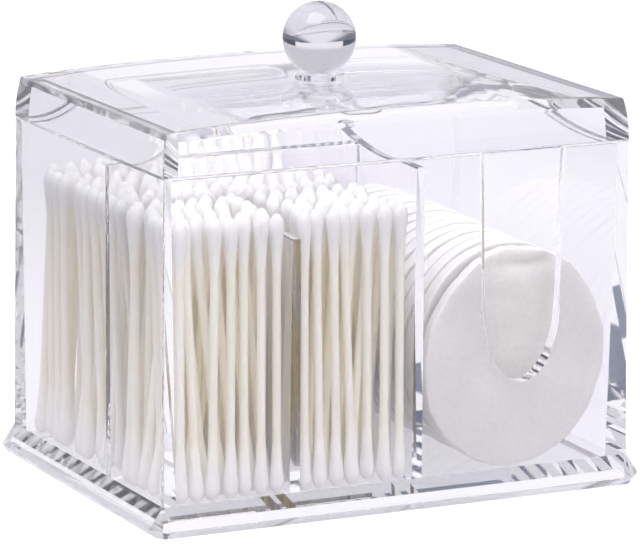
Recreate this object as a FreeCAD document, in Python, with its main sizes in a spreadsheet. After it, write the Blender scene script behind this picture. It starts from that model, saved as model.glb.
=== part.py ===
import FreeCAD, Part

import math
import os
import random

import Sketcher

# Clear box for cotton swabs and round cotton pads: a moulded box with a flared foot, a lift-off lid with a
# ball knob, and its contents. Millimetres, +Z up. The origin is on the table under the middle of the box,
# and the front, which has the finger cut, faces -Y.

SIZES = [
    ("box_width", 133.0, "outside of the walls at the rim, along X"),
    ("box_depth", 97.4, "outside of the walls at the rim, along Y"),
    ("wall_height", 84.3, "from the top of the foot to the rim"),
    ("wall_flare", 0.7, "each outside wall face stands out this much more at the foot than at the rim"),
    ("rim_thickness", 2.4, "wall at the rim"),
    ("root_thickness", 4.8, "wall at the top of the foot"),
    ("floor_sink", 1.7, "inside floor below the top of the foot"),
    ("floor_thickness", 3.0, "floor of the box"),
    ("skirt_thickness", 2.6, "foot round the recess under the floor, at the table"),
    ("foot_overhang", 3.8, "widest edge of the foot beyond the wall"),
    ("foot_slope_height", 5.5, "from the widest edge of the foot up to the wall"),
    ("foot_lip_height", 2.4, "from the table up to the widest edge of the foot"),
    ("foot_lip_inset", 2.0, "the foot draws in this much below its widest edge"),
    ("foot_corner", 4.2, "corner facet at the widest edge of the foot"),
    ("foot_top_corner", 0.4, "corner facet where the foot meets the wall"),
    ("foot_base_corner", 2.0, "corner facet on the table"),
    ("divider_thickness", 2.4, "every divider at its top"),
    ("divider_draft", 0.25, "each face of a divider stands out this much more at the floor"),
    ("divider_drop", 2.8, "top of the full dividers below the rim"),
    ("pad_divider_place", 72.8, "left outside face to the middle of the full-depth divider"),
    ("cross_divider_place", 37.7, "front outside face to the middle of the cross divider"),
    ("low_divider_place", 37.6, "left outside face to the middle of the low divider"),
    ("low_divider_drop", 18.6, "top of the low divider below the rim"),
    ("cut_width", 23.7, "finger cut at the rim"),
    ("cut_draft", 0.9, "each side of the finger cut draws in this much down to its round end"),
    ("cut_depth", 61.7, "finger cut, from the rim to its lowest point"),
    ("cut_round_height", 19.5, "height of the half-elliptical end of the finger cut"),
    ("cut_place", 102.0, "left outside face to the middle of the finger cut"),
    ("lid_height", 11.2, "lid above the rim, at its corners"),
    ("lid_crown", 2.4, "rise of the arched top at the middle"),
    ("lid_tuck", 1.25, "the bowed sides of the lid draw in this much at its corners"),
    ("lid_wall", 5.0, "lid wall at the rim"),
    ("lid_cavity_height", 8.2, "inside of the lid above the rim, at its sides"),
    ("lid_cavity_crown", 1.6, "rise of the arched ceiling inside the lid"),
    ("lid_cavity_tuck", 0.6, "inside faces of the lid draw in this much at the ceiling"),
    ("lip_depth", 1.1, "locating lip of the lid below the rim"),
    ("lip_clearance", 0.35, "gap between that lip and the box walls"),
    ("seat_diameter", 13.6, "raised seat of the knob on the lid"),
    ("seat_height", 1.7, "top of the knob seat above the arched top"),
    ("spigot_diameter", 6.0, "spigot under the knob"),
    ("spigot_length", 2.6, "spigot under the knob"),
    ("spigot_clearance", 0.05, "glue gap round and under the spigot"),
    ("ball_diameter", 19.5, "knob"),
    ("ball_flat", 9.0, "middle of the ball down to its flat underside"),
    ("pad_width", 53.6, "cotton pad, squeezed by its bay"),
    ("pad_height", 59.4, "cotton pad, standing on edge"),
    ("pad_thickness", 5.1, "cotton pad"),
    ("pad_edge", 1.6, "rounding of a pad's edges"),
    ("pad_lean", 12.0, "how far the front pad leans over to the right, in degrees"),
    ("pad_gap", 0.3, "between one pad and the next, under the pads, and beside the wall they lean on"),
    ("swab_length", 73.3, "swab from end to end"),
    ("stick_diameter", 2.4, "paper stick"),
    ("tip_diameter", 4.3, "cotton tip at its widest"),
    ("tip_length", 15.0, "cotton tip"),
    ("tip_round", 3.2, "rounded end of a tip, from its pole to its widest"),
    ("tip_neck", 3.0, "diameter of a tip where it meets the stick"),
    ("tip_bore_clearance", 0.04, "gap round the stick inside a tip"),
    ("swab_pitch", 4.5, "least distance between neighbouring swabs in a row"),
    ("row_pitch", 5.3, "least distance between rows of swabs"),
    ("row_sway", 3.5, "how far the heads of a row may first lean to one side of its feet, halved"),
    ("swab_scatter", 3.0, "how far a swab may first stand off its grid place, each way"),
    ("swab_spacing", 0.15, "least space between two swabs"),
    ("swab_clearance", 0.3, "between a swab and the floor or a wall"),
]


class Size:
    """A number together with the spreadsheet expression that gives it."""

    def __init__(self, value, text):
        self.value = value
        self.text = text

    def __add__(self, other):
        other = as_size(other)
        return Size(self.value + other.value, f"({self.text} + {other.text})")

    def __sub__(self, other):
        other = as_size(other)
        return Size(self.value - other.value, f"({self.text} - {other.text})")

    def __rsub__(self, other):
        return as_size(other) - self

    def __mul__(self, other):
        other = as_size(other)
        return Size(self.value * other.value, f"({self.text} * {other.text})")

    def __truediv__(self, other):
        other = as_size(other)
        return Size(self.value / other.value, f"({self.text} / {other.text})")

    def __neg__(self):
        return Size(-self.value, f"(0 - {self.text})")

    __radd__ = __add__
    __rmul__ = __mul__


def as_size(number):
    return number if isinstance(number, Size) else Size(float(number), str(float(number)))


def root(size):
    return Size(math.sqrt(size.value), f"sqrt({size.text})")


def sine(degrees):
    return Size(math.sin(math.radians(degrees.value)), f"sin({degrees.text} * 1 deg)")


def cosine(degrees):
    return Size(math.cos(math.radians(degrees.value)), f"cos({degrees.text} * 1 deg)")


doc = FreeCAD.newDocument("SwabDispenser")
sheet = doc.addObject("Spreadsheet::Sheet", "Sizes")
S = {}
for line, (alias, value, note) in enumerate(SIZES, start=1):
    sheet.set(f"A{line}", note)
    sheet.set(f"B{line}", str(value))
    sheet.setAlias(f"B{line}", alias)
    S[alias] = Size(value, f"Sizes.{alias}")
doc.recompute()


# ---- sketches and features -------------------------------------------------------------------------------


def new_body(label):
    body = doc.addObject("PartDesign::Body", label)
    body.Label = label
    return body


def new_sketch(body, name, role, offset=0):
    """A sketch on one of the body's own origin planes, moved along its normal."""
    sketch = body.newObject("Sketcher::SketchObject", name)
    plane = next(feature for feature in body.Origin.OriginFeatures if feature.Role == role)
    sketch.AttachmentSupport = [(plane, "")]
    sketch.MapMode = "FlatFace"
    offset = as_size(offset)
    sketch.setExpression("AttachmentOffset.Base.z", offset.text)
    return sketch


def bind(sketch, kind, *where, size):
    """A dimension of the sketch, driven by the spreadsheet."""
    index = sketch.addConstraint(Sketcher.Constraint(kind, *where, size.value))
    sketch.setExpression(f"Constraints[{index}]", size.text)


def pin(sketch, line, end, point):
    """Hold one end of a line or arc at a point measured from the sketch's origin."""
    bind(sketch, "DistanceX", -1, 1, line, end, size=as_size(point[0]))
    bind(sketch, "DistanceY", -1, 1, line, end, size=as_size(point[1]))


def vector(point):
    return FreeCAD.Vector(as_size(point[0]).value, as_size(point[1]).value, 0)


def outline(sketch, points, rises=None):
    """A closed outline. A side whose index is in rises is an arc that bows to the right of the direction
    of travel by that rise; every other side is straight."""
    rises = rises or {}
    first = sketch.GeometryCount
    for side, start in enumerate(points):
        end = points[(side + 1) % len(points)]
        a, b = vector(start), vector(end)
        if side in rises:
            along = b - a
            right = FreeCAD.Vector(along.y, -along.x, 0).normalize()
            middle = (a + b) * 0.5 + right * rises[side].value
            sketch.addGeometry(Part.Arc(a, middle, b), False)
        else:
            sketch.addGeometry(Part.LineSegment(a, b), False)
    starts = []
    for side, start in enumerate(points):
        # an arc keeps its own sense of turning, so its ends are looked up rather than assumed
        line = first + side
        starts.append(1 if (sketch.getPoint(line, 1) - vector(start)).Length < 1e-6 else 2)
    for side in range(len(points)):
        after = (side + 1) % len(points)
        sketch.addConstraint(Sketcher.Constraint("Coincident", first + side, 3 - starts[side],
                                                 first + after, starts[after]))
    for side, start in enumerate(points):
        pin(sketch, first + side, starts[side], start)
        if side in rises:
            end = points[(side + 1) % len(points)]
            run = (end[0] - start[0]) * (end[0] - start[0]) + (end[1] - start[1]) * (end[1] - start[1])
            radius = run / (8 * rises[side]) + rises[side] / 2
            bind(sketch, "Radius", first + side, size=radius)


def rectangle(sketch, half_x, half_y, centre=(0, 0)):
    x, y = as_size(centre[0]), as_size(centre[1])
    outline(sketch, [(x - half_x, y - half_y), (x + half_x, y - half_y),
                     (x + half_x, y + half_y), (x - half_x, y + half_y)])


def faceted_rectangle(sketch, half_x, half_y, corner):
    """A rectangle whose four corners are cut off by facets."""
    outline(sketch, [(corner - half_x, -half_y), (half_x - corner, -half_y),
                     (half_x, corner - half_y), (half_x, half_y - corner),
                     (half_x - corner, half_y), (corner - half_x, half_y),
                     (-half_x, half_y - corner), (-half_x, corner - half_y)])


def circle(sketch, radius):
    centre, normal = FreeCAD.Vector(0, 0, 0), FreeCAD.Vector(0, 0, 1)
    index = sketch.addGeometry(Part.Circle(centre, normal, radius.value), False)
    sketch.addConstraint(Sketcher.Constraint("Coincident", index, 3, -1, 1))
    bind(sketch, "Radius", index, size=radius)


def ellipse(sketch, centre, half_x, half_y, lean=0):
    """An upright ellipse, half_y its longer half-axis, that leans over to +X by some degrees."""
    middle, lean = vector(centre), as_size(lean)
    up = FreeCAD.Vector(sine(lean).value, cosine(lean).value, 0)
    aside = FreeCAD.Vector(up.y, -up.x, 0)
    index = sketch.addGeometry(Part.Ellipse(middle + up * half_y.value, middle + aside * half_x.value,
                                            middle), False)
    sketch.exposeInternalGeometry(index)
    major, minor = index + 1, index + 2
    climbs = sketch.getPoint(major, 2).y > sketch.getPoint(major, 1).y
    turn = as_size(90 if climbs else -90) - lean
    angle = sketch.addConstraint(Sketcher.Constraint("Angle", major, math.radians(turn.value)))
    sketch.setExpression(f"Constraints[{angle}]", f"{turn.text} * 1 deg")
    pin(sketch, index, 3, centre)
    bind(sketch, "Distance", major, size=2 * half_y)
    bind(sketch, "Distance", minor, size=2 * half_x)


def loft(body, name, sketches, cut=False):
    """Straight-sided transition through the sketches."""
    feature = body.newObject("PartDesign::SubtractiveLoft" if cut else "PartDesign::AdditiveLoft", name)
    feature.Profile = sketches[0]
    feature.Sections = sketches[1:]
    feature.Ruled = True
    return feature


def pad(body, name, sketch, length, midplane=False, reverse=False):
    feature = body.newObject("PartDesign::Pad", name)
    feature.Profile = sketch
    feature.setExpression("Length", length.text)
    feature.Midplane = midplane
    feature.Reversed = reverse
    return feature


def pocket(body, name, sketch, length, midplane=False, reverse=False):
    feature = body.newObject("PartDesign::Pocket", name)
    feature.Profile = sketch
    feature.setExpression("Length", length.text)
    feature.Midplane = midplane
    feature.Reversed = reverse
    return feature


# ---- levels and faces that several pieces share ----------------------------------------------------------

foot_top = S["foot_slope_height"] + S["foot_lip_height"]
rim = foot_top + S["wall_height"]
floor = foot_top - S["floor_sink"]
half_width = S["box_width"] / 2
half_depth = S["box_depth"] / 2
inside_draft = (S["root_thickness"] - S["wall_flare"] - S["rim_thickness"]) / S["wall_height"]
crown_top = rim + S["lid_height"] + S["lid_crown"]
seat_top = crown_top + S["seat_height"]
outside = 2.0  # how far a cutting sketch reaches past the material


def inner_face(half_outside, height):
    """Distance from the middle of the box to the inside of a wall, at a height above the table."""
    return half_outside - S["rim_thickness"] - (rim - height) * inside_draft


# ---- the moulded box -------------------------------------------------------------------------------------


def section(body, name, height, half_x, half_y, centre=(0, 0)):
    sketch = new_sketch(body, name, "XY_Plane", height)
    rectangle(sketch, half_x, half_y, centre)
    return sketch


def foot_section(body, name, height, stand_out, corner):
    sketch = new_sketch(body, name, "XY_Plane", height)
    faceted_rectangle(sketch, half_width + S["wall_flare"] + stand_out,
                      half_depth + S["wall_flare"] + stand_out, corner)
    return sketch


def divider(body, name, top, along, across, start, end):
    """A drafted wall from the floor up. It runs from start to end along one axis, its middle at across."""
    middle = (start + end) / 2
    half_length = (end - start) / 2
    sections = []
    for end_name, height, growth in (("Foot", floor, S["divider_draft"]), ("Top", top, as_size(0))):
        half = S["divider_thickness"] / 2 + growth
        if along == "X":
            sections.append(section(body, name + end_name, height, half_length, half, (middle, across)))
        else:
            sections.append(section(body, name + end_name, height, half, half_length, (across, middle)))
    loft(body, name, sections)


def dispenser_box():
    body = new_body("dispenser_box")
    loft(body, "Walls", [
        section(body, "WallFoot", foot_top, half_width + S["wall_flare"], half_depth + S["wall_flare"]),
        section(body, "WallRim", rim, half_width, half_depth),
    ])
    widest = S["foot_overhang"]
    loft(body, "Foot", [
        foot_section(body, "FootTop", foot_top, as_size(0), S["foot_top_corner"]),
        foot_section(body, "FootWidest", S["foot_lip_height"], widest, S["foot_corner"]),
        foot_section(body, "FootBase", as_size(0), widest - S["foot_lip_inset"], S["foot_base_corner"]),
    ])
    loft(body, "Inside", [
        section(body, "InsideFloor", floor, inner_face(half_width, floor), inner_face(half_depth, floor)),
        section(body, "InsideRim", rim, half_width - S["rim_thickness"], half_depth - S["rim_thickness"]),
    ], cut=True)

    skirt = S["wall_flare"] + widest - S["foot_lip_inset"] - S["skirt_thickness"]
    underside = floor - S["floor_thickness"]
    pocket(body, "Recess", section(body, "RecessOutline", underside, half_width + skirt, half_depth + skirt),
           floor)

    in_wall = S["rim_thickness"] / 2
    pad_divider = S["pad_divider_place"] - half_width
    cross_divider = S["cross_divider_place"] - half_depth
    low_divider = S["low_divider_place"] - half_width
    full_top = rim - S["divider_drop"]
    divider(body, "PadDivider", full_top, "Y", pad_divider, in_wall - half_depth, half_depth - in_wall)
    divider(body, "CrossDivider", full_top, "X", cross_divider, in_wall - half_width, pad_divider)
    divider(body, "LowDivider", rim - S["low_divider_drop"], "Y", low_divider,
            in_wall - half_depth, cross_divider)

    # the finger cut: a half ellipse at the bottom, then two slightly drafted sides up to the rim
    middle = S["cut_place"] - half_width
    round_top = rim - S["cut_depth"] + S["cut_round_height"]
    half_cut = S["cut_width"] / 2
    half_end = half_cut - S["cut_draft"]
    front = half_depth + S["wall_flare"] + outside
    through = S["wall_flare"] + S["root_thickness"] + outside
    sides = new_sketch(body, "CutSides", "XZ_Plane", front)
    outline(sides, [(middle - half_end, round_top), (middle + half_end, round_top),
                    (middle + half_cut, rim), (middle + half_cut, rim + outside),
                    (middle - half_cut, rim + outside), (middle - half_cut, rim)])
    pocket(body, "FingerCut", sides, through)
    end = new_sketch(body, "CutEnd", "XZ_Plane", front)
    ellipse(end, (middle, round_top), half_end, S["cut_round_height"])
    pocket(body, "FingerCutEnd", end, through)
    return body


# ---- the lid and its knob --------------------------------------------------------------------------------


def lid():
    body = new_body("lid")
    corner = rim + S["lid_height"]
    # an arc that stands upright at the rim bows by a quarter of what it draws in
    arch = new_sketch(body, "Arch", "XZ_Plane")
    outline(arch, [(-half_width, rim), (half_width, rim),
                   (half_width - S["lid_tuck"], corner), (S["lid_tuck"] - half_width, corner)],
            {1: S["lid_tuck"] / 4, 2: S["lid_crown"], 3: S["lid_tuck"] / 4})
    pad(body, "ArchedBlock", arch, S["box_depth"], midplane=True)

    reach = S["lid_height"] + S["lid_crown"] + outside
    tuck = S["lid_tuck"] * (reach / S["lid_height"]) * (reach / S["lid_height"])
    bows = new_sketch(body, "Bows", "YZ_Plane")
    outline(bows, [(half_depth, rim), (half_depth - tuck, rim + reach),
                   (half_depth + outside, rim + reach), (half_depth + outside, rim)], {0: tuck / 4})
    outline(bows, [(tuck - half_depth, rim + reach), (-half_depth, rim),
                   (-half_depth - outside, rim), (-half_depth - outside, rim + reach)], {0: tuck / 4})
    pocket(body, "FrontAndBack", bows, S["box_width"] + 2 * outside, midplane=True)

    lip_x = half_width - S["rim_thickness"] - S["lip_clearance"]
    lip_y = half_depth - S["rim_thickness"] - S["lip_clearance"]
    pad(body, "Lip", section(body, "LipOutline", rim, lip_x, lip_y), S["lip_depth"], reverse=True)

    ceiling = rim + S["lid_cavity_height"]
    wall, tuck_in = S["lid_wall"], S["lid_cavity_tuck"]
    loft(body, "Cavity", [
        section(body, "CavityMouth", rim - S["lip_depth"], half_width - wall, half_depth - wall),
        section(body, "CavityCeiling", ceiling, half_width - wall - tuck_in, half_depth - wall - tuck_in),
    ], cut=True)
    vault = new_sketch(body, "Vault", "XZ_Plane")
    vault_half = half_width - wall - tuck_in
    outline(vault, [(-vault_half, ceiling), (vault_half, ceiling)], {1: S["lid_cavity_crown"]})
    pocket(body, "ArchedCeiling", vault, 2 * (half_depth - wall - tuck_in), midplane=True)

    seat = new_sketch(body, "SeatOutline", "XY_Plane", corner)
    circle(seat, S["seat_diameter"] / 2)
    pad(body, "KnobSeat", seat, S["lid_crown"] + S["seat_height"])
    hole = new_sketch(body, "SeatHoleOutline", "XY_Plane", seat_top)
    circle(hole, S["spigot_diameter"] / 2 + S["spigot_clearance"])
    pocket(body, "SeatHole", hole, S["spigot_length"] + S["spigot_clearance"])
    return body


def knob():
    body = new_body("knob")
    profile = new_sketch(body, "Profile", "XZ_Plane")
    radius = S["ball_diameter"] / 2
    flat = root(radius * radius - S["ball_flat"] * S["ball_flat"])
    rise = S["ball_flat"] + radius
    spigot = S["spigot_diameter"] / 2
    chord_squared = rise * rise + flat * flat
    outline(profile, [(0, seat_top - S["spigot_length"]), (spigot, seat_top - S["spigot_length"]),
                      (spigot, seat_top), (flat, seat_top), (0, seat_top + rise)],
            {3: radius - root(radius * radius - chord_squared / 4)})
    turned = body.newObject("PartDesign::Revolution", "Turned")
    turned.Profile = profile
    turned.ReferenceAxis = (profile, ["V_Axis"])
    turned.Angle = 360.0
    return body


# ---- the contents ----------------------------------------------------------------------------------------


def cotton_pads():
    """A row of round pads on edge behind the finger cut, squeezed a little narrower than they are tall.
    Each leans over by its own amount and rests on the floor and against the right wall."""
    half_wide, half_tall = S["pad_width"] / 2, S["pad_height"] / 2
    pitch = S["pad_thickness"] + S["pad_gap"]
    front = inner_face(half_depth, floor) - S["pad_gap"]
    count = int((2 * front.value + S["pad_gap"].value) / pitch.value)
    bodies = []
    for number in range(count):
        # 1.9 rad: the leans go to and fro without repeating along the row
        lean = S["pad_lean"] * round(math.cos(1.9 * number), 2)
        up, over = cosine(lean), sine(lean)
        reach_up = root(half_tall * half_tall * up * up + half_wide * half_wide * over * over)
        reach_over = root(half_tall * half_tall * over * over + half_wide * half_wide * up * up)
        height = floor + S["pad_gap"] + reach_up
        centre = inner_face(half_width, height) - S["pad_gap"] - reach_over
        body = new_body(f"cotton_pad_{number + 1:02d}")
        face = new_sketch(body, f"PadFace{number + 1}", "XZ_Plane", front - number * pitch)
        ellipse(face, (centre, height), half_wide, half_tall, lean)
        disc = pad(body, f"PadDisc{number + 1}", face, S["pad_thickness"], reverse=True)
        doc.recompute()
        soft = body.newObject("PartDesign::Fillet", f"PadEdge{number + 1}")
        rims = [f"Edge{i + 1}" for i, edge in enumerate(disc.Shape.Edges)
                if edge.BoundBox.ZLength > S["pad_height"].value / 2 and edge.BoundBox.YLength < 0.01]
        soft.Base = (disc, rims)
        soft.setExpression("Radius", S["pad_edge"].text)
        bodies.append(body)
    return bodies


def turned_profile(points, arc_through=None):
    """A solid turned about Z from (radius, height) points; arc_through maps a side to the point its arc
    passes through."""
    arc_through = arc_through or {}
    edges = []
    for side, start in enumerate(points):
        end = points[(side + 1) % len(points)]
        a, b = FreeCAD.Vector(start[0], 0, start[1]), FreeCAD.Vector(end[0], 0, end[1])
        if side in arc_through:
            middle = FreeCAD.Vector(arc_through[side][0], 0, arc_through[side][1])
            edges.append(Part.Arc(a, middle, b).toShape())
        else:
            edges.append(Part.makeLine(a, b))
    face = Part.Face(Part.Wire(edges))
    return face.revolve(FreeCAD.Vector(0, 0, 0), FreeCAD.Vector(0, 0, 1), 360)


def swab_pieces():
    """One stick and one tip, standing at the origin with the tip's pole at the origin."""
    v = {alias: size.value for alias, size in S.items()}
    stick_radius, tip_radius, neck = v["stick_diameter"] / 2, v["tip_diameter"] / 2, v["tip_neck"] / 2
    bore = stick_radius + v["tip_bore_clearance"]
    bore_end = v["tip_round"]
    cheek = math.sqrt(0.5)  # a quarter ellipse passes here, as a share of each half-axis
    tip = turned_profile(
        [(0, 0), (tip_radius, v["tip_round"]), (neck, v["tip_length"]), (bore, v["tip_length"]),
         (bore, bore_end), (0, bore_end)],
        {0: (tip_radius * cheek, v["tip_round"] * (1 - cheek))})
    stick_end = bore_end + v["tip_bore_clearance"]
    stick = Part.makeCylinder(stick_radius, v["swab_length"] - 2 * stick_end,
                              FreeCAD.Vector(0, 0, stick_end))
    return stick, tip


def swab_places(left, right, front, back, lean, seed):
    """Feet and heads of the swabs in one bay. They start in rows that lean to and fro, each swab a little
    out of line, and then any two that are too close, or one too near a wall, are pushed apart."""
    v = {alias: size.value for alias, size in S.items()}
    chance = random.Random(seed)
    margin = v["tip_diameter"] / 2 + v["swab_clearance"]
    bounds = ((left + margin, right - margin), (front + margin, back - margin))
    pitches = (v["swab_pitch"], v["row_pitch"])
    counts = [int((high - low) / pitch) + 1 for (low, high), pitch in zip(bounds, pitches)]
    steps = [(high - low) / max(count - 1, 1) for (low, high), count in zip(bounds, counts)]
    swabs = []
    for row in range(counts[1]):
        sway = lean + v["row_sway"] * math.sin(2.4 * row + seed)  # 2.4 rad: rows side by side differ
        for column in range(counts[0]):
            x, y = bounds[0][0] + column * steps[0], bounds[1][0] + row * steps[1]
            scatter = [chance.uniform(-1, 1) * v["swab_scatter"] for _ in range(4)]
            swabs.append(([x - sway + scatter[0], y + scatter[1]],
                          [x + sway + scatter[2], y + scatter[3]]))

    # shares of the length, with how far apart two swabs keep there
    space = v["swab_spacing"]
    tip, neck, stick = v["tip_diameter"] + space, v["tip_neck"] + space, v["stick_diameter"] + space
    head_share, neck_share = v["tip_round"] / v["swab_length"], v["tip_length"] / v["swab_length"]
    lower = [(head_share + down * (neck_share - head_share), tip + down * (neck - tip))
             for down in (0, 0.2, 0.4, 0.6, 0.8, 1)]
    stations = lower + [(1 - share, gap) for share, gap in lower]
    for _ in range(300):
        moved = False
        for i, one in enumerate(swabs):
            for two in swabs[i + 1:]:
                if math.dist(one[0], two[0]) < 3 * tip or math.dist(one[1], two[1]) < 3 * tip:
                    closest = closest_share(one, two, neck_share)
                    moved = push_apart(one, two, stations + [(closest, stick)]) or moved
        for foot, head in swabs:
            for end in (foot, head):
                end[:] = [min(max(place, low), high) for place, (low, high) in zip(end, bounds)]
        if not moved:
            break
    return swabs


def closest_share(one, two, neck_share):
    """Share of the length, between the necks, at which two sticks come closest."""
    feet = [one[0][axis] - two[0][axis] for axis in (0, 1)]
    turn = [one[1][axis] - two[1][axis] - feet[axis] for axis in (0, 1)]
    turn_squared = turn[0] ** 2 + turn[1] ** 2
    if turn_squared == 0:
        return 0.5
    share = -(feet[0] * turn[0] + feet[1] * turn[1]) / turn_squared
    return min(max(share, neck_share), 1 - neck_share)


def push_apart(one, two, stations):
    """Move two swabs, each given by its foot and head, until they clear each other at every station."""
    moved = False
    for share, gap in stations:
        weights = (1 - share, share)
        apart = [sum(weights[end] * (one[end][axis] - two[end][axis]) for end in (0, 1)) for axis in (0, 1)]
        distance = math.hypot(*apart)
        if distance < gap - 0.01:
            moved = True
            push = 0.5 * (gap - distance) / distance
            for end in (0, 1):
                for axis in (0, 1):
                    one[end][axis] += push * weights[end] * apart[axis]
                    two[end][axis] -= push * weights[end] * apart[axis]
    return moved


def swabs(bay_name, left, right, front, back, lean, seed):
    """All swabs of one bay, as one group of sticks and one of tips."""
    v = {alias: size.value for alias, size in S.items()}
    stick, tip = swab_pieces()
    top_tip = tip.mirror(FreeCAD.Vector(0, 0, v["swab_length"] / 2), FreeCAD.Vector(0, 0, 1))
    sticks, tips = [], []
    for foot, head in swab_places(left, right, front, back, lean, seed):
        run = FreeCAD.Vector(head[0] - foot[0], head[1] - foot[1], 0)
        run.z = math.sqrt(v["swab_length"] ** 2 - run.Length ** 2)
        where = FreeCAD.Placement(FreeCAD.Vector(foot[0], foot[1], floor.value + v["swab_clearance"]),
                                  FreeCAD.Rotation(FreeCAD.Vector(0, 0, 1), run))
        for piece, group in ((stick, sticks), (tip, tips), (top_tip, tips)):
            copy = piece.copy()
            copy.Placement = where.multiply(copy.Placement)
            group.append(copy)
    features = []
    for kind, group in (("sticks", sticks), ("tips", tips)):
        feature = doc.addObject("Part::Feature", f"swab_{kind}_{bay_name}")
        feature.Label = f"swab_{kind}_{bay_name}"
        feature.Shape = Part.makeCompound(group)
        features.append(feature)
    return features


def all_swabs():
    """The three swab bays, bounded by the faces at floor level, where they are narrowest."""
    left_wall = -inner_face(half_width, floor).value
    front_wall = -inner_face(half_depth, floor).value
    thick = S["divider_thickness"].value / 2 + S["divider_draft"].value
    pad_divider = S["pad_divider_place"].value - half_width.value
    cross_divider = S["cross_divider_place"].value - half_depth.value
    low_divider = S["low_divider_place"].value - half_width.value
    front = (front_wall, cross_divider - thick)
    back = (cross_divider + thick, -front_wall)
    return (swabs("front_left", left_wall, low_divider - thick, *front, lean=-0.5, seed=3)
            + swabs("front_right", low_divider + thick, pad_divider - thick, *front, lean=1.5, seed=4)
            + swabs("back_left", left_wall, pad_divider - thick, *back, lean=0.0, seed=5))


# ---- build, check, write ---------------------------------------------------------------------------------

pieces = [dispenser_box(), lid(), knob()] + cotton_pads()
doc.recompute()
pieces += all_swabs()
doc.recompute()

for item in doc.Objects:
    if "Invalid" in item.State or "Error" in item.State:
        raise RuntimeError(f"{item.Label} failed to build: {item.State}")
for piece in pieces:
    if piece.Shape.isNull() or not piece.Shape.isValid():
        raise RuntimeError(f"{piece.Label} has no valid shape")

os.makedirs("parts", exist_ok=True)
for piece in pieces:
    piece.Shape.exportStep(f"parts/{piece.Label}.step")
    print(f"{piece.Label:26s} {len(piece.Shape.Solids):4d} solids  {piece.Shape.Volume / 1000:9.2f} cm3")
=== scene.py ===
import math

import bmesh
import bpy
import numpy as np
from mathutils import Matrix, Vector


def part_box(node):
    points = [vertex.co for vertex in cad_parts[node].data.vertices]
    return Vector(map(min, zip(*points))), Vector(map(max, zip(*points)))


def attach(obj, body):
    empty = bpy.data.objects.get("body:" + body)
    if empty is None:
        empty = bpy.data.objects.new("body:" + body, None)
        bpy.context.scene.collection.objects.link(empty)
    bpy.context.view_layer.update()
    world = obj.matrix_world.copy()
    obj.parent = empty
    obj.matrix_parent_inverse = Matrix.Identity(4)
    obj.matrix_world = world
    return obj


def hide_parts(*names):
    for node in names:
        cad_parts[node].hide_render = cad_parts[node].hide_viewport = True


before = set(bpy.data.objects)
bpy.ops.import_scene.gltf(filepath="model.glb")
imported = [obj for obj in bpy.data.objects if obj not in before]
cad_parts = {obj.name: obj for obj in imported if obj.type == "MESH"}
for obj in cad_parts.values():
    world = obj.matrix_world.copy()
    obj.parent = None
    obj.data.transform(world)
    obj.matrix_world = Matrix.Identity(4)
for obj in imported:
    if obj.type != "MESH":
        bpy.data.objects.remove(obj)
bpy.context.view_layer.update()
print("frame loaded:", len(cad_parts), "nodes")

mm = 0.001
weld = 0.002 * mm  # points nearer than this to each other are one point


# A socket of a node tree. Arithmetic on it adds Math nodes, and node() adds any other kind.
class Wire:
    def __init__(self, tree, socket=None):
        self.tree, self.socket = tree, socket

    def node(self, kind, settings=None, inputs=None, output=0):
        made = self.tree.nodes.new(kind)
        for name, value in (settings or {}).items():
            setattr(made, name, value)
        for name, value in (inputs or {}).items():
            if isinstance(value, Wire):
                self.tree.links.new(value.socket, made.inputs[name])
            else:
                made.inputs[name].default_value = value
        return Wire(self.tree, made.outputs[output])

    def math(self, operation, *values):
        return self.node("ShaderNodeMath", {"operation": operation}, dict(enumerate(values)))

    def __add__(self, other):
        return self.math("ADD", self, other)

    def __radd__(self, other):
        return self.math("ADD", other, self)

    def __sub__(self, other):
        return self.math("SUBTRACT", self, other)

    def __rsub__(self, other):
        return self.math("SUBTRACT", other, self)

    def __mul__(self, other):
        return self.math("MULTIPLY", self, other)

    def __rmul__(self, other):
        return self.math("MULTIPLY", other, self)

    def absolute(self):
        return self.math("ABSOLUTE", self)

    def larger(self, other):
        return self.math("MAXIMUM", self, other)

    def dot(self, direction):
        return self.node("ShaderNodeVectorMath", {"operation": "DOT_PRODUCT"}, {0: self, 1: direction},
                         output="Value")

    def noise(self, scale, detail, **others):
        return self.node("ShaderNodeTexNoise", {},
                         {"Vector": self, "Scale": scale, "Detail": detail, **others})

    def bump(self, strength, distance):
        return self.node("ShaderNodeBump", {},
                         {"Strength": strength, "Distance": distance, "Height": self})

    def step(self, low, high):
        return self.node("ShaderNodeMapRange", {"interpolation_type": "SMOOTHSTEP"},
                         {"Value": self, "From Min": low, "From Max": high})

    def blend(self, first, second):
        # the sockets of a Mix node share their names, and those for colours are 6, 7 and the output 2
        return self.node("ShaderNodeMix", {"data_type": "RGBA"}, {0: self, 6: first, 7: second}, output=2)


def addObject(name, data):
    made = bpy.data.objects.new(name, data)
    bpy.context.scene.collection.objects.link(made)
    return made


def newMaterial(name):
    made = bpy.data.materials.new(name)
    made.use_nodes = True
    made.node_tree.nodes.clear()
    return made, Wire(made.node_tree)


def finishMaterial(made, shader):
    end = made.node_tree.nodes.new("ShaderNodeOutputMaterial")
    made.node_tree.links.new(shader.socket, end.inputs["Surface"])
    return made


# The camera stands far off and looks a little down, past the box's left front corner.
camera = {
    "turn": math.radians(26.06),
    "drop": math.radians(12.07),
    "roll": math.radians(0.37),
    "distance": 1.2655,
    "lens": 267.4,
    "sensor": 36,
    "clipStart": 0.1,
    "clipEnd": 20,
    "aim": Vector((0.83, 0.35, 53.23)) * mm,
}


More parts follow.
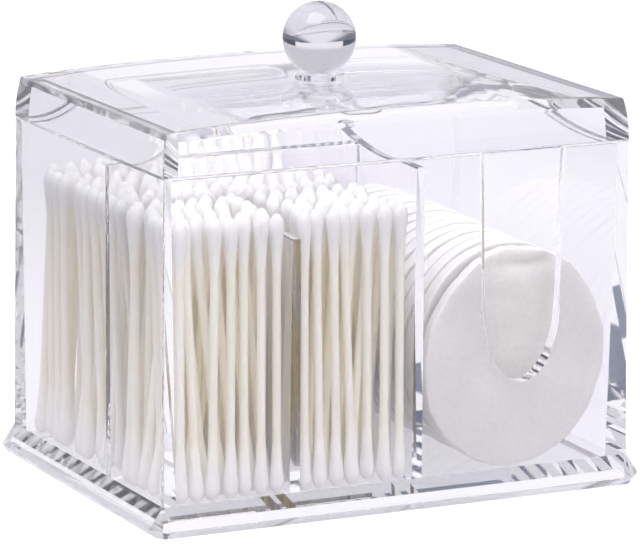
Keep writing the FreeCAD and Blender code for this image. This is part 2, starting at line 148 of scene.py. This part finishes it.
def placeCamera():
    turn, drop = camera["turn"], camera["drop"]
    ahead = Vector((math.sin(turn) * math.cos(drop), math.cos(turn) * math.cos(drop), -math.sin(drop)))
    data = bpy.data.cameras.new("camera")
    data.lens, data.sensor_width = camera["lens"], camera["sensor"]
    data.clip_start, data.clip_end = camera["clipStart"], camera["clipEnd"]
    holder = addObject("camera", data)
    look = ahead.to_track_quat("-Z", "Y").to_matrix() @ Matrix.Rotation(camera["roll"], 3, "Z")
    holder.matrix_world = Matrix.Translation(camera["aim"] - ahead * camera["distance"]) @ look.to_4x4()
    bpy.context.scene.camera = holder


placeCamera()

# Level directions of the camera's view.
cameraAhead = Vector((math.sin(camera["turn"]), math.cos(camera["turn"]), 0))
cameraRight = Vector((math.cos(camera["turn"]), -math.sin(camera["turn"]), 0))

darkColour = (0.05, 0.065, 0.11, 1)  # what stands far out on both sides of that view

# White paper. The clear pieces show it in their own way, which draws their dark lines: without most of the
# object's shadow, dark on both sides of the camera's view, and with patches of painted shade on it under and
# just behind the box.
paperFloor = {
    "size": 3.0,
    "drop": 0.2 * mm,
    "colour": 0.82,
    "seen": 1.25,  # how much brighter it looks to the camera than it lights the object
    "grainScale": 40.0,
    "grainShare": 0.01,
    "inGlass": (1.02, 1.0, 1.06, 1),  # its colour as the clear pieces show it
    "shadowless": 0.8,  # how far they leave the object's shadow out
    "halfWidth": 0.13,
    "fade": 0.30,  # the width over which it darkens beyond that
    "paintedShadeColour": (0.06, 0.09, 0.17, 1),
    # each painted shade patch's middle and half its width and depth; they stand in for the box's shade on
    # the paper and colour the strips at the corners of the box
    "paintedShadePatches": [(0.030, 0.035, 0.032, 0.026), (0.050, 0.085, 0.020, 0.034), (0.108, 0.120, 0.018, 0.020)],
    "paintedShadeEdge": 2 * mm,
    "paintedShadeDepth": 6,  # they show only to light that has turned more often than this in the clear pieces
}


def floorLook():
    made, start = newMaterial("floorPaper")
    direct = start.node("ShaderNodeLightPath", output="Is Camera Ray")
    glossy = start.node("ShaderNodeLightPath", output="Is Glossy Ray")
    through = start.node("ShaderNodeLightPath", output="Is Transmission Ray")
    inGlass = glossy.larger(through)
    place = start.node("ShaderNodeTexCoord", output="Object")
    grain = place.noise(paperFloor["grainScale"], detail=3.0)
    plain = paperFloor["colour"]
    shade = direct * (paperFloor["seen"] - plain) + plain + grain * paperFloor["grainShare"]
    colour = start.node("ShaderNodeCombineColor", {}, {0: shade, 1: shade, 2: shade})
    matt = start.node("ShaderNodeBsdfDiffuse", {}, {"Color": colour})
    half, fade = paperFloor["halfWidth"], paperFloor["fade"]
    beyond = place.dot(cameraRight).absolute().step(half, half + fade)
    shown = beyond.blend(paperFloor["inGlass"], darkColour)
    turns = start.node("ShaderNodeLightPath", output="Ray Depth")
    straight = 1 - turns.math("GREATER_THAN", turns, paperFloor["paintedShadeDepth"])
    soft = paperFloor["paintedShadeEdge"]
    # painted shade: dark patches on the paper under and just behind the box, seen only through the clear
    # pieces
    for x, y, wide, deep in paperFloor["paintedShadePatches"]:
        outX = (place.dot((1, 0, 0)) - x).absolute().step(wide, wide + soft)
        outY = (place.dot((0, 1, 0)) - y).absolute().step(deep, deep + soft)
        shown = outX.larger(outY).larger(straight).blend(paperFloor["paintedShadeColour"], shown)
    bright = start.node("ShaderNodeEmission", {}, {"Color": shown})
    both = start.node("ShaderNodeMixShader", {}, {0: inGlass * paperFloor["shadowless"], 1: matt, 2: bright})
    return finishMaterial(made, both)


def buildFloor():
    half, low = paperFloor["size"] / 2, -paperFloor["drop"]
    mesh = bpy.data.meshes.new("floor")
    mesh.from_pydata([(-half, -half, low), (half, -half, low), (half, half, low), (-half, half, low)], [],
                     [(0, 1, 2, 3)])
    mesh.materials.append(floorLook())
    floor = addObject("floor", mesh)


buildFloor()

# A grey room above a white horizon, and low on the horizon a dark card to each side. The camera sees plain
# white instead. Each pair is the start and the end of a soft step, in shares of a direction's length.
room = {
    "ceilingColour": (0.68, 0.67, 0.72, 1),
    "horizonColour": (1.02, 1.0, 1.06, 1),
    "ceilingUp": (0.0, 0.10),
    "cardTop": (0.03, 0.05),
    "cardAside": (0.47, 0.50),
    "cardAhead": (-0.1, 0.0),  # the cards stand only beyond the object
    "edgeColour": (1.0, 0.92, 0.84, 1),
    "edgeAside": (0.44, 0.46),  # the pale warm edge before each card
}


def lightWorld():
    world = bpy.data.worlds.new("studio")
    bpy.context.scene.world = world
    world.use_nodes = True
    world.node_tree.nodes.clear()
    start = Wire(world.node_tree)
    direction = start.node("ShaderNodeTexCoord", output="Generated")
    forward = direction.dot(cameraAhead)
    up = direction.dot((0, 0, 1))
    plain = up.step(*room["ceilingUp"]).blend(room["horizonColour"], room["ceilingColour"])
    aside = direction.dot(cameraRight).absolute()
    low = (1 - up.step(*room["cardTop"])) * forward.step(*room["cardAhead"])
    edge = aside.step(*room["edgeAside"]) * low
    card = aside.step(*room["cardAside"]) * low
    colour = card.blend(edge.blend(plain, room["edgeColour"]), darkColour)
    seen = start.node("ShaderNodeLightPath", output="Is Camera Ray")
    background = start.node("ShaderNodeBackground", {}, {"Color": seen.blend(colour, (1, 1, 1, 1))})
    end = world.node_tree.nodes.new("ShaderNodeOutputWorld")
    world.node_tree.links.new(background.socket, end.inputs["Surface"])


lightWorld()

# The word "hits" says whether reflected light can run into a lamp, so that it shows in the clear pieces.
lamps = {
    "keyLamp": {"place": (-0.4, -0.25, 1.4), "size": 1.0, "power": 10.0, "hits": True},
    "fillLamp": {"place": (0.3, -1.4, 1.0), "size": 1.2, "power": 3.4, "hits": False},
}


def placeLamp(name):
    settings = lamps[name]
    data = bpy.data.lights.new(name, "AREA")
    data.shape, data.size, data.energy = "SQUARE", settings["size"], settings["power"]
    data.cycles.use_multiple_importance_sampling = settings["hits"]
    lamp = addObject(name, data)
    lamp.location = settings["place"]
    lamp.rotation_euler = (-Vector(settings["place"])).to_track_quat("-Z", "Y").to_euler()


for name in lamps:
    placeLamp(name)
scene = bpy.context.scene
scene.view_settings.view_transform = "Standard"
scene.cycles.max_bounces = 40
scene.cycles.glossy_bounces = 40  # light that runs inside the clear walls turns on each face by reflection
scene.cycles.transmission_bounces = 40
scene.cycles.transparent_max_bounces = 32
scene.cycles.diffuse_bounces = 24  # the pale gaps between the swabs are lit by many soft bounces
print("stage ready")

acrylic = {
    "wallTint": (0.989, 0.985, 1.0, 1),
    "ballTint": (0.82, 0.815, 0.835, 1),  # the thick ball takes more out of the light
    "clearness": 0.99,  # the rest is a faint white haze
    "bend": 1.49,  # the refractive index
    "ripple": 0.02,
    "rippleScale": 28.0,
    "rippleDepth": 0.3 * mm,
    "shadow": (0.965, 0.96, 0.97, 1),
}
cotton = {
    "colour": (0.95, 0.945, 0.93, 1),
    "shade": (0.90, 0.895, 0.885, 1),
    "scale": 1400.0,
    "depth": 0.12 * mm,
    "stretch": (1.0, 1.0, 0.5),
}
pressed = {
    "colour": (0.80, 0.782, 0.768, 1),
    "shade": (0.727, 0.708, 0.695, 1),
    # painted light: the rims are painted whiter than the faces, to lift the shade on the sides of the
    # stacked pads
    "paintedLightRimColour": (0.97, 0.955, 0.945, 1),
    "glow": 0.6,
    "glowDepth": 2.5 * mm,
    "scale": 900.0,
    "depth": 0.15 * mm,
    "stretch": (1.0, 1.0, 1.0),
}
# Shared by both kinds of cotton. Each pair is the start and the end of a soft step.
fibre = {
    "broader": 12,  # how much broader than the fine noise the second noise is
    "fineShare": 0.6,
    "contrast": (0.35, 0.65),
    "neckFade": (0.50, 1.05),
    "neckFray": 0.2,
    "paintedLightRimFade": (0.3, 0.9),
    "relief": 0.5,
}
paper = {
    "colour": (0.97, 0.945, 0.86, 1),
    "shade": (0.95, 0.905, 0.78, 1),
    "stretch": (1.0, 1.0, 0.12),
    "streakScale": 900.0,
    "patchScale": 220.0,
    "streakShare": 0.5,
    "contrast": (0.38, 0.62),
    "relief": 0.3,
    "depth": 0.05 * mm,
}
cotton["neckColour"] = paper["colour"]


def clearAcrylic(name, tint):
    made, start = newMaterial(name)
    place = start.node("ShaderNodeTexCoord", output="Object")
    flow = place.noise(acrylic["rippleScale"], detail=1.0).bump(acrylic["ripple"], acrylic["rippleDepth"])
    solid = start.node("ShaderNodeBsdfPrincipled", {}, {
        "Base Color": tint, "Roughness": 0.0, "IOR": acrylic["bend"],
        "Transmission Weight": acrylic["clearness"], "Normal": flow})
    clear = start.node("ShaderNodeBsdfTransparent", {}, {"Color": acrylic["shadow"]})
    lampRay = start.node("ShaderNodeLightPath", output="Is Shadow Ray")
    return finishMaterial(made, start.node("ShaderNodeMixShader", {}, {0: lampRay, 1: solid, 2: clear}))


def fibres(name, look):
    made, start = newMaterial(name)
    place = start.node("ShaderNodeTexCoord", output="Object")
    spread = start.node("ShaderNodeMapping", {}, {"Vector": place, "Scale": look["stretch"]})
    fine = spread.noise(look["scale"], detail=6.0, Roughness=0.65, Distortion=0.6)
    broad = place.noise(look["scale"] / fibre["broader"], detail=2.0)
    mixed = fine * fibre["fineShare"] + broad * (1 - fibre["fineShare"])
    colour = mixed.step(*fibre["contrast"]).blend(look["shade"], look["colour"])
    if "neckColour" in look:  # wound cotton thins out towards the stick, whose paper shows through
        along = start.node("ShaderNodeAttribute", {"attribute_name": "along"}, output="Fac")
        thin = (along + fine * fibre["neckFray"]).step(*fibre["neckFade"])
        colour = thin.blend(colour, look["neckColour"])
    if "paintedLightRimColour" in look:  # the pressed faces lie across Y; the rim is painted whiter, partly its looser fibre and partly painted light that lifts the shade on the stacked pads' sides
        facing = start.node("ShaderNodeNewGeometry", output="Normal").dot((0, 1, 0)).absolute()
        colour = facing.step(*fibre["paintedLightRimFade"]).blend(look["paintedLightRimColour"], colour)
    inputs = {"Base Color": colour, "Roughness": 0.9, "Sheen Weight": 0.2, "Sheen Roughness": 0.6,
              "Specular IOR Level": 0.2, "Normal": (fine + broad).bump(fibre["relief"], look["depth"])}
    if "glow" in look:  # light that spreads inside the cotton
        inputs.update({"Subsurface Weight": look["glow"], "Subsurface Radius": (1.0, 1.0, 1.0),
                       "Subsurface Scale": look["glowDepth"]})
    return finishMaterial(made, start.node("ShaderNodeBsdfPrincipled", {}, inputs))


def rolledPaper():
    made, start = newMaterial("rolledPaper")
    place = start.node("ShaderNodeTexCoord", output="Object")
    tall = start.node("ShaderNodeMapping", {}, {"Vector": place, "Scale": paper["stretch"]})
    streak = tall.noise(paper["streakScale"], detail=3.0)
    patch = tall.noise(paper["patchScale"], detail=1.0)
    mixed = streak * paper["streakShare"] + patch * (1 - paper["streakShare"])
    colour = mixed.step(*paper["contrast"]).blend(paper["shade"], paper["colour"])
    shader = start.node("ShaderNodeBsdfPrincipled", {}, {
        "Base Color": colour, "Roughness": 0.6, "Specular IOR Level": 0.35,
        "Normal": streak.bump(paper["relief"], paper["depth"])})
    return finishMaterial(made, shader)


wallAcrylic = clearAcrylic("wallAcrylic", acrylic["wallTint"])
ballAcrylic = clearAcrylic("ballAcrylic", acrylic["ballTint"])
woundCotton = fibres("woundCotton", cotton)
pressedCotton = fibres("pressedCotton", pressed)
paperStick = rolledPaper()
print("materials ready")


def addPiece(name, mesh, body, material, slotName, *nodes):
    piece = addObject(name, mesh)
    mesh.materials.clear()
    mesh.materials.append(material)
    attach(piece, body)
    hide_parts(*nodes)
    return piece


# Rings of points joined in order and closed at both ends by a pole. rings[k, i, j] is spot j round ring i of
# copy k; the poles are one point a copy.
def ringMesh(name, rings, lowPoles, highPoles):
    copies, count, spots = rings.shape[:3]
    stride = count * spots
    points = np.concatenate([rings.reshape(-1, 3), lowPoles, highPoles])
    i, j = np.meshgrid(np.arange(count - 1), np.arange(spots), indexing="ij")
    after = (j + 1) % spots
    quads = np.stack([i * spots + j, i * spots + after, (i + 1) * spots + after, (i + 1) * spots + j], -1)
    copy = np.arange(copies)[:, None, None]
    quads = (quads.reshape(1, -1, 4) + copy * stride).reshape(-1, 4)
    spot = np.arange(spots)
    lowPole = copies * stride + np.arange(copies)[:, None]
    first = np.arange(copies)[:, None] * stride
    last = first + stride - spots
    lowFan = np.stack(np.broadcast_arrays(lowPole, first + (spot + 1) % spots, first + spot), -1)
    highFan = np.stack(np.broadcast_arrays(lowPole + copies, last + spot, last + (spot + 1) % spots), -1)
    mesh = bpy.data.meshes.new(name)
    mesh.from_pydata(points.tolist(), [], quads.tolist() + lowFan.reshape(-1, 3).tolist()
                     + highFan.reshape(-1, 3).tolist())
    mesh.polygons.foreach_set("use_smooth", np.ones(len(mesh.polygons), bool))
    mesh.update()
    return mesh


# A profile turned about an axis, once for each copy: at height h along the axis the ring's radius is r.
def turnedMesh(name, starts, axes, heights, radii, spots):
    # a direction well away from the axis, to start the circle from
    helper = np.where(np.abs(axes[:, :1]) < 0.9, [[1.0, 0, 0]], [[0, 1.0, 0]])
    across = np.cross(axes, helper)
    across /= np.linalg.norm(across, axis=1, keepdims=True)
    along = np.cross(axes, across)
    angle = np.linspace(0, 2 * math.pi, spots, endpoint=False)
    circle = (across[:, None] * np.cos(angle)[None, :, None] + along[:, None] * np.sin(angle)[None, :, None])
    centres = starts[:, None] + axes[:, None] * heights[:, 1:-1, None]
    rings = centres[:, :, None] + circle[:, None] * radii[:, 1:-1, None, None]
    return ringMesh(name, rings, starts + axes * heights[:, :1], starts + axes * heights[:, -1:])


# A mesh as an editable shape without doubled points.
def weldedShape(mesh):
    shape = bmesh.new()
    shape.from_mesh(mesh)
    bmesh.ops.remove_doubles(shape, verts=shape.verts, dist=weld)
    return shape


moulding = {
    "flat": math.radians(0.05),  # faces that turn less than this from each other are joined
    "edgeWidth": 0.3 * mm,
    "edgeSegments": 2,
    "sharpest": math.radians(60),  # an edge is rounded only if it is sharper than this
    "shortest": 5 * mm,  # and longer than this
    "above": 3 * mm,  # and wholly higher up than this
    "smooth": math.radians(20),  # faces that turn less than this from each other are shaded as one
}


# The moulded pieces keep the frame's own faces. Their long outer edges are rounded, flat faces stay flat,
# and only the bowed ones are smooth.
def mouldedPiece(name, node, body):
    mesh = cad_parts[node].data.copy()
    mesh.name = name
    shape = weldedShape(mesh)
    bmesh.ops.dissolve_limit(shape, angle_limit=moulding["flat"], verts=shape.verts, edges=shape.edges)
    outer = [edge for edge in shape.edges if edge.calc_face_angle_signed() > moulding["sharpest"]
             and edge.calc_length() > moulding["shortest"]
             and min(v.co.z for v in edge.verts) > moulding["above"]]
    made = bmesh.ops.bevel(shape, geom=outer, offset=moulding["edgeWidth"], offset_type="OFFSET",
                           segments=moulding["edgeSegments"], profile=0.5, affect="EDGES",
                           clamp_overlap=False)
    rounded = set(made["faces"])
    for edge in shape.edges:
        soft = edge.calc_face_angle() < moulding["smooth"]
        edge.smooth = soft or all(face in rounded for face in edge.link_faces)
    for face in shape.faces:
        face.smooth = True
    shape.to_mesh(mesh)
    shape.free()
    addPiece(name, mesh, body, wallAcrylic, "clear_acrylic", node)


mouldedPiece("mouldedBox", "dispenser_box", "box")
mouldedPiece("archedLid", "lid", "lid")

knob = {
    "flatRadius": 3.75 * mm,
    "spigotRadius": 3.0 * mm,
    "spigotLength": 2.6 * mm,
    "spots": 96,
    "rings": 64,
    "sharp": math.radians(25),
}


# A ball cut off flat below, with a spigot under it. The round part follows the circle through the top and
# the edge of the flat.
def buildKnob():
    low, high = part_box("knob")
    radius = (high.x - low.x) / 2
    centre = high.z - radius
    flat = math.asin(knob["flatRadius"] / radius)
    angle = np.linspace(math.pi - flat, 0, knob["rings"])
    ballRadii, ballHeights = radius * np.sin(angle), centre + radius * np.cos(angle)
    seat = ballHeights[0]
    spigot = knob["spigotRadius"]
    bottom = seat - knob["spigotLength"]
    radii = np.concatenate([[0, spigot, spigot], ballRadii])
    heights = np.concatenate([[bottom, bottom, seat], ballHeights])
    mesh = turnedMesh("ballKnob", np.zeros((1, 3)), np.array([[0, 0, 1.0]]), heights[None], radii[None],
                      knob["spots"])
    mesh.set_sharp_from_angle(angle=knob["sharp"])
    addPiece("ballKnob", mesh, "lid", ballAcrylic, "clear_acrylic", "knob")


buildKnob()
print("box, lid and knob ready")

swab = {
    "stickRadius": 1.2 * mm,
    "inTip": 3.24 * mm,  # the stick's end lies this deep in the tip
    "tipLength": 15.0 * mm,
    "tipRadius": 2.12 * mm,
    "neckRadius": 1.21 * mm,
    "domeLength": 3.4 * mm,
    "domeRings": [0, 0.12, 0.5, 1.0],  # shares of the dome's length
    "taperRings": [0.22, 0.55, 1.0],  # shares of the rest of the tip
    "taperPower": 1.4,
    "fullness": (0.93, 1.0),  # how the tips differ from each other in width, and then in length
    "reach": (0.92, 1.04),
    "tipSpots": 10,
    "stickSpots": 8,
    "sharp": math.radians(60),
}


# Middle of the lower and upper end of every separate cylinder in a node.
def stickEnds(node):
    shape = weldedShape(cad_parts[node].data)
    points = np.array([v.co for v in shape.verts])
    links = np.array([[v.index for v in edge.verts] for edge in shape.edges])
    shape.free()
    label = np.arange(len(points))
    while True:  # the lowest index spreads along the edges until every point of a piece has it
        low = np.minimum(label[links[:, 0]], label[links[:, 1]])
        spread = label.copy()
        np.minimum.at(spread, links[:, 0], low)
        np.minimum.at(spread, links[:, 1], low)
        if (spread == label).all():
            break
        label = spread
    names, group = np.unique(label, return_inverse=True)
    total = np.zeros((len(names), 2, 3))
    count = np.zeros((len(names), 2))
    middle = np.zeros(len(names))
    np.add.at(middle, group, points[:, 2])
    middle /= np.bincount(group)
    end = (points[:, 2] > middle[group]).astype(int)
    np.add.at(total, (group, end), points)
    np.add.at(count, (group, end), 1)
    ends = total / count[:, :, None]
    return ends[np.lexsort((ends[:, 0, 0], ends[:, 0, 1]))]


def buildSwabs(bay, title, chance):
    ends = stickEnds("swab_sticks_" + bay)
    axes = ends[:, 1] - ends[:, 0]
    length = np.linalg.norm(axes, axis=1, keepdims=True)
    axes /= length
    count = len(axes)
    stick = swab["stickRadius"]
    heights = np.stack([np.zeros(count), np.zeros(count), length[:, 0], length[:, 0]], 1)
    radii = np.tile([0, stick, stick, 0], (count, 1))
    mesh = turnedMesh("paperSticks" + title, ends[:, 0], axes, heights, radii, swab["stickSpots"])
    mesh.set_sharp_from_angle(angle=swab["sharp"])
    addPiece("paperSticks" + title, mesh, "box", paperStick, "swab_stick", "swab_sticks_" + bay)

    # a bud: a quarter ellipse up to the widest ring, then a taper that flattens out towards the neck
    dome, tip, neck = swab["domeLength"], swab["tipRadius"], swab["neckRadius"]
    rise, sweep = np.array(swab["domeRings"]), np.array(swab["taperRings"])
    heights = np.concatenate([dome * rise, dome + (swab["tipLength"] - dome) * sweep, [swab["tipLength"]]])
    domeRadii = tip * np.sqrt(1 - (1 - rise) ** 2)
    sweepRadii = neck + (tip - neck) * (1 - sweep) ** swab["taperPower"]
    profile = np.concatenate([domeRadii, sweepRadii, [0]])
    starts = np.concatenate([ends[:, 0] - axes * swab["inTip"], ends[:, 1] + axes * swab["inTip"]])
    inward = np.concatenate([axes, -axes])
    fullness = chance.uniform(*swab["fullness"], (2 * count, 1))
    reach = chance.uniform(*swab["reach"], (2 * count, 1))
    mesh = turnedMesh("cottonTips" + title, starts, inward, heights[None] * reach, profile[None] * fullness,
                      swab["tipSpots"])
    mesh.set_sharp_from_angle(angle=swab["sharp"])
    # how far along its tip each point lies, for the colour near the neck
    share = heights[1:-1] / heights[-1]
    along = np.concatenate([np.tile(np.repeat(share, swab["tipSpots"]), 2 * count),
                            np.zeros(2 * count), np.ones(2 * count)])
    mesh.attributes.new("along", "FLOAT", "POINT").data.foreach_set("value", along)
    addPiece("cottonTips" + title, mesh, "box", woundCotton, "swab_tip", "swab_tips_" + bay)


chance = np.random.default_rng(11)
for bay, title in (("front_left", "FrontLeft"), ("front_right", "FrontRight"), ("back_left", "BackLeft")):
    buildSwabs(bay, title, chance)
print("swabs ready")

pad = {
    "sectors": 20,  # the solid's rim is read at the outermost point of this many sectors a radian
    "spots": 160,
    "rings": 72,
    "facePower": 0.2,
    "rimPower": 0.22,
    "wave": 0.3 * mm,
    "ragged": 0.14 * mm,
    "raggedFront": 0.5 * mm,
    "evenness": 0.2,  # how much of their leaning the pads behind the first keep
    "pressed": 0.5,  # the share of the first pad's roundness that they have, as they press on each other
    "swell": 0.14 * mm,  # added to half the depth of the solid
    # size, turns across and turns up of each wave over the faces
    "faceWaves": [(1.0, 3.1, 2.2), (1.0, -1.9, 4.7), (0.6, 6.3, 0.0), (0.5, 3.0, 7.7), (0.4, 13.0, -5.0)],
    "facePhases": [0, 1, 2, 3, 8],  # which of the drawn phases each wave takes
    "edgeWaves": [(1.0, 3, 0), (1.0, 7, 0), (0.6, 17, 0), (0.4, 41, 0)],
    "edgePhases": [4, 5, 6, 7],
    # height, place across and up, and half-widths of each hump, the last four in shares of the radius
    "crease": [(-1.3 * mm, 0.10, 0.86, 0.26, 0.05), (0.6 * mm, 0.2, 0.95, 0.22, 0.04),
               (0.8 * mm, 0.0, 0.70, 0.40, 0.11), (-0.4 * mm, -0.55, 0.55, 0.2, 0.25),
               (-0.3 * mm, 0.5, 0.2, 0.25, 0.5), (0.3 * mm, -0.3, -0.3, 0.4, 0.3)],
}


# The ellipse through a round piece's rim, as its centre, half its depth and the matrix that takes the unit
# circle to it.
def rimEllipse(node):
    points = np.array([v.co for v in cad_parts[node].data.vertices])
    low, high = points.min(0), points.max(0)
    centre = (low + high) / 2
    flat = (points - centre)[:, [0, 2]]
    size = np.abs(flat).max()
    turn = np.arctan2(flat[:, 1], flat[:, 0])
    reach = np.linalg.norm(flat, axis=1)
    sector = np.floor((turn + math.pi) * pad["sectors"]).astype(int)
    outer = np.array([np.flatnonzero(sector == s)[np.argmax(reach[sector == s])] for s in np.unique(sector)])
    x, z = flat[outer].T / size
    fit = np.linalg.lstsq(np.stack([x * x, 2 * x * z, z * z], 1), np.ones(len(x)), rcond=None)[0]
    values, vectors = np.linalg.eigh([[fit[0], fit[1]], [fit[1], fit[2]]])
    return centre, (high[1] - low[1]) / 2, size * vectors @ np.diag(values ** -0.5) @ vectors.T


# Sine waves added up, each with its size, its turns across and up and its phase. The sum is divided by all
# their sizes, so that it stays between -1 and 1.
def addWaves(waves, phases, across, up):
    parts = [size * np.sin(turnsAcross * across + turnsUp * up + phase)
             for (size, turnsAcross, turnsUp), phase in zip(waves, phases)]
    return sum(parts) / sum(size for size, *_ in waves)


# A pillow: along the profile angle a, the distance from the middle is sin(a) to the power rimPower and the
# depth is cos(a) to the power facePower; slow waves over the face lift it in and out, and others pull the
# outline out of round. The front pad also has a crease under its top edge: a hollow, and a bulge on each
# side of it, each a Gaussian hump.
def buildPad(node, number, chance):
    centre, halfDepth, shape = rimEllipse(node)
    halfDepth += pad["swell"]
    front = number == 1
    edge = pad["raggedFront"] if front else pad["ragged"]
    roundness = 1.0 if front else pad["pressed"]
    if not front:
        shape = shape * np.where(np.eye(2) == 1, 1.0, pad["evenness"])
    angle = np.linspace(0, math.pi, pad["rings"] + 2)[1:-1]
    out = np.sin(angle) ** (pad["rimPower"] * roundness)
    deep = np.sign(-np.cos(angle)) * np.abs(np.cos(angle)) ** (pad["facePower"] * roundness)
    turn = np.linspace(0, 2 * math.pi, pad["spots"], endpoint=False)
    x = out[:, None] * np.cos(turn)[None]
    z = out[:, None] * np.sin(turn)[None]
    phases = chance.uniform(0, 2 * math.pi, 9)
    waves = addWaves(pad["faceWaves"], phases[pad["facePhases"]], x, z)
    ragged = addWaves(pad["edgeWaves"], phases[pad["edgePhases"]], turn, 0)
    calm = np.abs(deep)[:, None] * pad["wave"]
    y = deep[:, None] * (halfDepth - pad["wave"]) + waves * calm
    if front:
        for size, atX, atZ, wide, tall in pad["crease"]:
            hump = np.exp(-((x - atX) / wide) ** 2 - ((z - atZ) / tall) ** 2)
            y -= size * hump * (deep[:, None] < 0) * np.abs(deep)[:, None]
    shrink = 1 - (1 - ragged)[None] * edge / shape[0, 0] * out[:, None]
    flat = np.stack([x * shrink, z * shrink], -1) @ shape.T
    rings = np.stack([centre[0] + flat[..., 0], centre[1] + y, centre[2] + flat[..., 1]], -1)[None]
    poles = [np.array([[centre[0], y[end].mean() + centre[1], centre[2]]]) for end in (0, -1)]
    mesh = ringMesh(f"cottonPad{number:02d}", rings, *poles)
    piece = addPiece(f"cottonPad{number:02d}", mesh, "box", pressedCotton, "cotton_pad", node)


padNodes = sorted(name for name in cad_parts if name.startswith("cotton_pad"))
for number, node in enumerate(padNodes, start=1):
    buildPad(node, number, chance)
print("pads ready:", len(padNodes))
